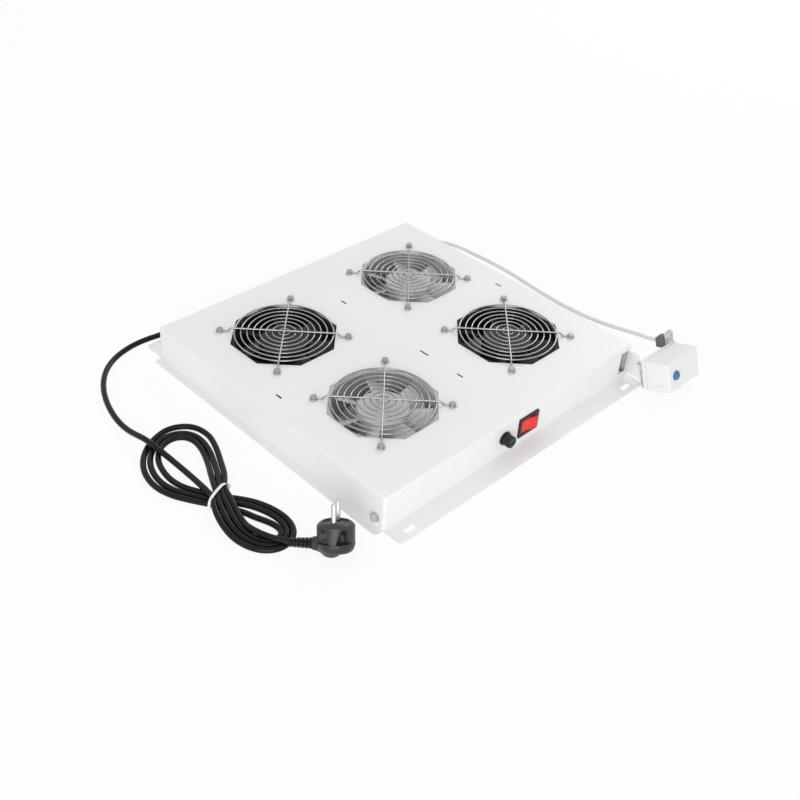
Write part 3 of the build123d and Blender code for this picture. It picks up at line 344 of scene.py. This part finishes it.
def surface(name, colour, rough, mottle, mottle_scale, grain_scale, grain, metallic=0.0,
            grain_deep=0.0001, rough_range=0.08, subsurface=0.0, specular=0.5):
    material, tree, shader = new_material(name)
    broad = object_noise(tree, mottle_scale, 4.0)
    fine = object_noise(tree, grain_scale)
    colours = ramp(tree, broad.outputs["Fac"], shade(colour, 1 - mottle), shade(colour, 1 + mottle))
    tree.links.new(colours, shader.inputs["Base Color"])
    roughness = spread(tree, broad.outputs["Fac"], rough - rough_range, rough + rough_range)
    tree.links.new(roughness, shader.inputs["Roughness"])
    shader.inputs["Metallic"].default_value = metallic
    shader.inputs["Specular IOR Level"].default_value = specular
    shader.inputs["Subsurface Weight"].default_value = subsurface
    shader.inputs["Subsurface Radius"].default_value = SUBSURFACE_RADIUS
    bump(tree, shader, fine.outputs["Fac"], grain, grain_deep)
    return material


def zinc_sheet():
    material, tree, shader = new_material("zinc_steel")
    where = tree.nodes.new("ShaderNodeTexCoord")
    cells = tree.nodes.new("ShaderNodeTexVoronoi")
    cells.inputs["Scale"].default_value = ZINC_CELLS
    tree.links.new(where.outputs["Object"], cells.inputs["Vector"])
    bright = tree.nodes.new("ShaderNodeSeparateColor")
    tree.links.new(cells.outputs["Color"], bright.inputs["Color"])
    colours = ramp(tree, bright.outputs["Red"], ZINC_DARK, ZINC_LIGHT, 0.0, 1.0)
    tree.links.new(colours, shader.inputs["Base Color"])
    roughness = spread(tree, bright.outputs["Green"], 0.28, 0.5)
    tree.links.new(roughness, shader.inputs["Roughness"])
    shader.inputs["Metallic"].default_value = 0.9
    fine = object_noise(tree, 700.0)
    bump(tree, shader, fine.outputs["Fac"], 0.12, 0.0001)
    return material


def laminations():
    material, tree, shader = new_material("lamination")
    where = tree.nodes.new("ShaderNodeTexCoord")
    bands = tree.nodes.new("ShaderNodeTexWave")
    bands.bands_direction = "Z"
    bands.inputs["Scale"].default_value = LAMINATION_WAVES
    bands.inputs["Distortion"].default_value = 0.2
    tree.links.new(where.outputs["Object"], bands.inputs["Vector"])
    colours = ramp(tree, bands.outputs["Fac"], LAMINATION_DARK, LAMINATION_LIGHT)
    tree.links.new(colours, shader.inputs["Base Color"])
    shader.inputs["Metallic"].default_value = 0.7
    shader.inputs["Roughness"].default_value = 0.45
    bump(tree, shader, bands.outputs["Fac"], 0.3, 0.0002)
    return material


def make_materials():
    materials = {name: surface(name, **finish) for name, finish in FINISHES.items()}
    materials["zinc_steel"] = zinc_sheet()
    materials["lamination"] = laminations()
    return materials


def dress_nodes(materials):
    for row in frame["record"]["subparts"]:
        name = row["node"]
        finish = OWN_FINISH.get(name, row["material_slot"])
        node = frame["nodes"][name]
        node.data.materials.clear()
        node.data.materials.append(materials[finish])


# Cords

def nurbs_cord(name, points, radius, material):
    curve = bpy.data.curves.new(name, "CURVE")
    curve.dimensions = "3D"
    curve.bevel_depth = radius * MM
    curve.bevel_resolution = 6
    curve.resolution_u = 10
    curve.use_fill_caps = True
    spline = curve.splines.new("NURBS")
    spline.points.add(len(points) - 1)
    for point, place in zip(spline.points, points):
        point.co = (place[0] * MM, place[1] * MM, place[2] * MM, 1.0)
    spline.order_u = 3
    spline.use_endpoint_u = True
    cord = bpy.data.objects.new(name, curve)
    bpy.context.scene.collection.objects.link(cord)
    curve.materials.append(material)
    return cord


def centre_line(cord):
    copy = cord.copy()
    copy.data = cord.data.copy()
    copy.data.bevel_depth = 0.0
    mesh = bpy.data.meshes.new_from_object(copy)
    points = [vertex.co.copy() for vertex in mesh.vertices]
    bpy.data.objects.remove(copy)
    return points


def line_length(points):
    return sum((after - before).length for before, after in zip(points, points[1:]))


def left_of(before, after):
    # The unit step to the left of a way on the floor
    way_x = after[0] - before[0]
    way_y = after[1] - before[1]
    along = math.hypot(way_x, way_y)
    return -way_y / along, way_x / along


def at_tie(lane):
    offset, height = lane
    x = HANK_TIE[0] + offset * math.cos(HANK_TIE_TURN)
    y = HANK_TIE[1] + offset * math.sin(HANK_TIE_TURN)
    return x, y, height


def lobe_points(lobe, turn, enter, leave):
    middles = [enter] + [station[:2] for station in lobe] + [leave]
    points = []
    for index, (x, y, height, right, left) in enumerate(lobe):
        across = left_of(middles[index], middles[index + 2])
        offset = (-right, 0.0, left)[turn]
        points.append((x + across[0] * offset, y + across[1] * offset, height))
    return points


def hank_points():
    over = at_tie(TIE_OVER[1])
    under = at_tie(TIE_UNDER[1])
    points = []
    for turn in range(HANK_TURNS):
        points.append(at_tie(TIE_OVER[turn]))
        points += lobe_points(LOWER_LOBE, turn, over, under)
        points.append(at_tie(TIE_UNDER[turn]))
        points += lobe_points(UPPER_LOBE, turn, under, over)
    points.append(at_tie(TIE_OVER[HANK_TURNS]))
    return points


def build_cords(materials, plug, tie):
    route = MAINS_ROUTE + tuple(hank_points()) + LAST_RUN
    mains = nurbs_cord("mains_lead", route, MAINS_R, materials["black_rubber"])
    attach(mains, "root")
    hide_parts("mains_cord", "cord_hank")
    line = centre_line(mains)
    print("mains length", round(line_length(line), 4))
    lead = nurbs_cord("thermostat_cord", LEAD_ROUTE, LEAD_R, materials["grey_cord"])
    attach(lead, "root")
    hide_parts("thermostat_lead")
    line = centre_line(lead)
    print("lead length", round(line_length(line), 4))


# Pieces on the mains cord

def mesh_piece(name, points, faces, material, node):
    mesh = bpy.data.meshes.new(name)
    mesh.from_pydata([tuple(part * MM for part in point) for point in points], [], faces)
    mesh.validate()
    mesh.shade_smooth()
    mesh.set_sharp_from_angle(angle=SHARP_ANGLE)
    mesh.materials.append(material)
    piece = bpy.data.objects.new(name, mesh)
    bpy.context.scene.collection.objects.link(piece)
    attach(piece, "root")
    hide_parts(node)
    return piece


def skin(rings):
    # Faces between rings that have as many points each, closed at both ends
    around = len(rings[0])
    points = [point for ring in rings for point in ring]
    faces = []
    for row in range(len(rings) - 1):
        for step in range(around):
            after = (step + 1) % around
            faces.append((
                row * around + step, row * around + after,
                (row + 1) * around + after, (row + 1) * around + step,
            ))
    faces.append(tuple(reversed(range(around))))
    faces.append(tuple(range((len(rings) - 1) * around, len(rings) * around)))
    return points, faces


def joined(shells):
    points = []
    faces = []
    for shell_points, shell_faces in shells:
        start = len(points)
        points += shell_points
        faces += [tuple(start + index for index in face) for face in shell_faces]
    return points, faces


def tie_place(across, along, up):
    # From the tie's own directions to the part's
    turn_cos = math.cos(HANK_TIE_TURN)
    turn_sin = math.sin(HANK_TIE_TURN)
    x = HANK_TIE[0] + across * turn_cos - along * turn_sin
    y = HANK_TIE[1] + across * turn_sin + along * turn_cos
    return x, y, up


def arch(grow, turn):
    # A point of the tie's rounded arch, grow further out than its inner face
    reach = abs(math.cos(turn)) ** (2 / TIE_ROUND)
    rise = abs(math.sin(turn)) ** (2 / TIE_ROUND)
    across = math.copysign(reach * (TIE_HALF + grow), math.cos(turn))
    return TIE_MIDDLE + across, 0.15 + rise * (TIE_HIGH + grow)


def tie_band():
    half = TIE_WIDE / 2
    corners = (
        (0.0, -half * 0.8), (TIE_THICK * 0.3, -half), (TIE_THICK * 0.8, -half * 0.85),
        (TIE_THICK, -half * 0.5), (TIE_THICK, half * 0.5), (TIE_THICK * 0.8, half * 0.85),
        (TIE_THICK * 0.3, half), (0.0, half * 0.8),
    )
    rings = []
    for step in range(TIE_STEPS + 1):
        turn = math.pi * step / TIE_STEPS
        ring = []
        for grow, along in corners:
            across, up = arch(grow, turn)
            ring.append(tie_place(across, along, up))
        rings.append(ring)
    return skin(rings)


def tie_head():
    wide, long, high = TIE_HEAD
    start = TIE_MIDDLE + TIE_HALF + TIE_THICK * 0.5
    rings = []
    for share, lift in ((0.8, 0.0), (1.0, 0.12), (1.0, 0.85), (0.75, 1.0)):
        ring = []
        for step in range(HEAD_AROUND):
            turn = 2 * math.pi * step / HEAD_AROUND
            reach = abs(math.cos(turn)) ** 0.5
            side = abs(math.sin(turn)) ** 0.5
            across = start + wide / 2 * (1 + math.copysign(reach * share, math.cos(turn)))
            along = long / 2 * math.copysign(side * share, math.sin(turn))
            ring.append(tie_place(across, along, TIE_HEAD_LIFT + high * lift))
        rings.append(ring)
    return skin(rings)


def build_tie(materials):
    points, faces = joined([tie_band(), tie_head()])
    return mesh_piece("white_cable_tie", points, faces, materials["white_tie"], "cable_tie")


def plug_place(x, y, z):
    cord_way = Vector(PLUG_CORD_DIR).normalized()
    pin_way = Vector(PLUG_PIN_DIR).normalized()
    side_way = pin_way.cross(cord_way).normalized()
    return tuple(Vector(PLUG_MIDDLE) + cord_way * x + side_way * y + pin_way * z)


def smooth_step(value):
    value = max(0.0, min(1.0, value))
    return value * value * (3 - 2 * value)


def groove_depth(turn, height):
    # Two grooves on each long side, wider and deeper towards the plug's back
    down = smooth_step((GROOVE_TOP - height) / (GROOVE_TOP - GROOVE_FULL))
    share = (GROOVE_TOP - height) / (GROOVE_TOP - PLUG_SHOULDER)
    half = GROOVE_NARROW + (GROOVE_WIDE - GROOVE_NARROW) * max(0.0, share)
    deepest = 0.0
    for side in (-1, 1):
        for lean in (-1, 1):
            middle = side * math.pi / 2 + lean * GROOVE_TURN
            away = abs(math.remainder(turn - middle, 2 * math.pi))
            deepest = max(deepest, smooth_step(1.25 * (1 - away / half)))
    return GROOVE_DEEP * down * deepest


def round_ring(radius, height, grooved):
    ring = []
    for step in range(PLUG_AROUND):
        turn = 2 * math.pi * step / PLUG_AROUND
        reach = radius - (groove_depth(turn, height) if grooved else 0.0)
        ring.append(plug_place(reach * math.cos(turn), reach * math.sin(turn), height))
    return ring


def plug_insert():
    # Rows of radius, height and whether the grooves cut in, from the face down to the back
    rows = [
        (0.6, PLUG_FACE - 1.0, False), (PLUG_R - 6.0, PLUG_FACE - 1.0, False),
        (PLUG_R - 5.4, PLUG_FACE + 0.5, False), (PLUG_R - 4.2, PLUG_FACE + 0.5, False),
        (PLUG_R - 2.2, PLUG_FACE - 0.6, False), (PLUG_R - 0.8, PLUG_FACE - 2.2, False),
    ]
    for step in range(GROOVE_LEVELS + 1):
        height = GROOVE_TOP - (GROOVE_TOP - PLUG_SHOULDER) * step / GROOVE_LEVELS
        rows.append((PLUG_R + 0.3, height, True))
    rows += [
        (PLUG_R + 0.2, PLUG_SHOULDER - 0.3, False), (PLUG_R + 0.6, PLUG_SHOULDER - 0.8, False),
        (PLUG_R + 0.6, PLUG_SHOULDER - 2.4, False), (PLUG_R - 0.6, PLUG_BACK + 3.5, False),
        (PLUG_R - 1.7, PLUG_BACK + 1.6, False), (PLUG_R - 3.4, PLUG_BACK + 0.3, False),
        (PLUG_R - 5.5, PLUG_BACK, False), (0.6, PLUG_BACK, False),
    ]
    return skin([round_ring(*row) for row in reversed(rows)])


def plug_neck():
    rings = []
    for step in range(NECK_LEVELS + 1):
        share = step / NECK_LEVELS
        x = NECK_FROM + (NECK_TO - NECK_FROM) * share
        radius = NECK_ROOT_R + (NECK_END_R - NECK_ROOT_R) * smooth_step(share)
        ring = []
        for turn_step in range(NECK_AROUND):
            turn = 2 * math.pi * turn_step / NECK_AROUND
            ring.append(plug_place(x, radius * math.cos(turn), radius * math.sin(turn)))
        rings.append(ring)
    return skin(rings)


def plug_bulge():
    rings = []
    for step in range(1, BULGE_LEVELS):
        tilt = math.pi * (step / BULGE_LEVELS - 0.5)
        radius = BULGE_R * math.cos(tilt)
        ring = []
        for turn_step in range(NECK_AROUND):
            turn = 2 * math.pi * turn_step / NECK_AROUND
            ring.append(plug_place(
                BULGE_MIDDLE[0] + radius * math.cos(turn), BULGE_MIDDLE[1] + radius * math.sin(turn),
                BULGE_MIDDLE[2] + BULGE_R * math.sin(tilt),
            ))
        rings.append(ring)
    return skin(rings)


def build_plug(materials):
    points, faces = joined([plug_insert(), plug_neck(), plug_bulge()])
    return mesh_piece(
        "plug_moulding", points, faces, materials["plug_rubber"], "plug_body",
    )


# Camera, light and stage

def add_camera():
    right = Vector((math.cos(CAMERA_AZIMUTH), math.sin(CAMERA_AZIMUTH), 0.0))
    back = Vector((
        math.sin(CAMERA_AZIMUTH) * math.cos(CAMERA_ELEVATION),
        -math.cos(CAMERA_AZIMUTH) * math.cos(CAMERA_ELEVATION),
        math.sin(CAMERA_ELEVATION),
    ))
    up = back.cross(right)
    turned_right = right * math.cos(CAMERA_ROLL) + up * math.sin(CAMERA_ROLL)
    turned_up = up * math.cos(CAMERA_ROLL) - right * math.sin(CAMERA_ROLL)
    camera = bpy.data.objects.new("camera", bpy.data.cameras.new("camera"))
    bpy.context.scene.collection.objects.link(camera)
    turn = Matrix((turned_right, turned_up, back)).transposed().to_4x4()
    camera.matrix_world = Matrix.Translation(CAMERA_TARGET + back * CAMERA_DISTANCE) @ turn
    camera.data.lens = CAMERA_LENS
    camera.data.sensor_width = CAMERA_SENSOR
    camera.data.sensor_fit = "HORIZONTAL"
    bpy.context.scene.camera = camera


def area_lamp(name, place, size, power):
    lamp = bpy.data.lights.new(name, "AREA")
    lamp.size = size
    lamp.energy = power
    holder = bpy.data.objects.new(name, lamp)
    holder.location = place
    holder.rotation_euler = (-Vector(place)).to_track_quat("-Z", "Y").to_euler()
    bpy.context.scene.collection.objects.link(holder)


def seen_directly(tree, share):
    # How much of the plain white stands in for the light, for the camera and in metal and glass
    path = tree.nodes.new("ShaderNodeLightPath")
    either = tree.nodes.new("ShaderNodeMath")
    either.operation = "MAXIMUM"
    tree.links.new(path.outputs["Is Camera Ray"], either.inputs[0])
    tree.links.new(path.outputs["Is Glossy Ray"], either.inputs[1])
    any_of = tree.nodes.new("ShaderNodeMath")
    any_of.operation = "MAXIMUM"
    tree.links.new(either.outputs["Value"], any_of.inputs[0])
    tree.links.new(path.outputs["Is Transmission Ray"], any_of.inputs[1])
    part = tree.nodes.new("ShaderNodeMath")
    part.operation = "MULTIPLY"
    part.inputs[1].default_value = share
    tree.links.new(any_of.outputs["Value"], part.inputs[0])
    return part.outputs["Value"]


def add_world():
    world = bpy.data.worlds.new("studio")
    bpy.context.scene.world = world
    world.use_nodes = True
    tree = world.node_tree
    light = tree.nodes["Background"]
    light.inputs["Color"].default_value = (1.0, 1.0, 1.0, 1.0)
    light.inputs["Strength"].default_value = WORLD_LIGHT
    seen = tree.nodes.new("ShaderNodeBackground")
    seen.inputs["Color"].default_value = (1.0, 1.0, 1.0, 1.0)
    seen.inputs["Strength"].default_value = BACKGROUND
    mix = tree.nodes.new("ShaderNodeMixShader")
    tree.links.new(seen_directly(tree, 1.0), mix.inputs["Fac"])
    tree.links.new(light.outputs["Background"], mix.inputs[1])
    tree.links.new(seen.outputs["Background"], mix.inputs[2])
    tree.links.new(mix.outputs["Shader"], tree.nodes["World Output"].inputs["Surface"])


def beside_tray(tree):
    # One on the open floor and nothing under the tray, with a soft edge
    where = tree.nodes.new("ShaderNodeNewGeometry")
    parts = tree.nodes.new("ShaderNodeSeparateXYZ")
    tree.links.new(where.outputs["Position"], parts.inputs["Vector"])
    outside = tree.nodes.new("ShaderNodeMath")
    outside.operation = "MAXIMUM"
    for index, half in enumerate(TRAY_HALF):
        away = tree.nodes.new("ShaderNodeMath")
        away.operation = "ABSOLUTE"
        tree.links.new(parts.outputs[index], away.inputs[0])
        edge = tree.nodes.new("ShaderNodeMapRange")
        edge.interpolation_type = "SMOOTHSTEP"
        edge.inputs["From Min"].default_value = (half - 2 * SHADE_SOFT) * MM
        edge.inputs["From Max"].default_value = half * MM
        tree.links.new(away.outputs["Value"], edge.inputs["Value"])
        tree.links.new(edge.outputs["Result"], outside.inputs[index])
    return outside.outputs["Value"]


def add_floor():
    mesh = bpy.data.meshes.new("floor")
    half = FLOOR_HALF
    corners = [(-half, -half, 0.0), (half, -half, 0.0), (half, half, 0.0), (-half, half, 0.0)]
    mesh.from_pydata(corners, [], [(0, 1, 2, 3)])
    floor = bpy.data.objects.new("floor", mesh)
    bpy.context.scene.collection.objects.link(floor)
    material, tree, shader = new_material("floor")
    shader.inputs["Base Color"].default_value = (*FLOOR_COLOUR, 1.0)
    shader.inputs["Roughness"].default_value = 0.9
    shader.inputs["Specular IOR Level"].default_value = 0.0
    white = tree.nodes.new("ShaderNodeEmission")
    white.inputs["Strength"].default_value = BACKGROUND
    mix = tree.nodes.new("ShaderNodeMixShader")
    part = tree.nodes.new("ShaderNodeMath")
    part.operation = "MULTIPLY"
    tree.links.new(seen_directly(tree, FLOOR_WHITE), part.inputs[0])
    tree.links.new(beside_tray(tree), part.inputs[1])
    tree.links.new(part.outputs["Value"], mix.inputs["Fac"])
    tree.links.new(shader.outputs["BSDF"], mix.inputs[1])
    tree.links.new(white.outputs["Emission"], mix.inputs[2])
    tree.links.new(mix.outputs["Shader"], tree.nodes["Material Output"].inputs["Surface"])
    mesh.materials.append(material)


def add_stage():
    add_world()
    add_floor()
    area_lamp("key", KEY_PLACE, KEY_SIZE, KEY_LIGHT)
    area_lamp("fill", FILL_PLACE, FILL_SIZE, FILL_LIGHT)
    bpy.context.scene.view_settings.view_transform = "Standard"


def main():
    materials = make_materials()
    add_camera()
    add_stage()
    dress_nodes(materials)
    build_cords(materials, build_plug(materials), build_tie(materials))


main()
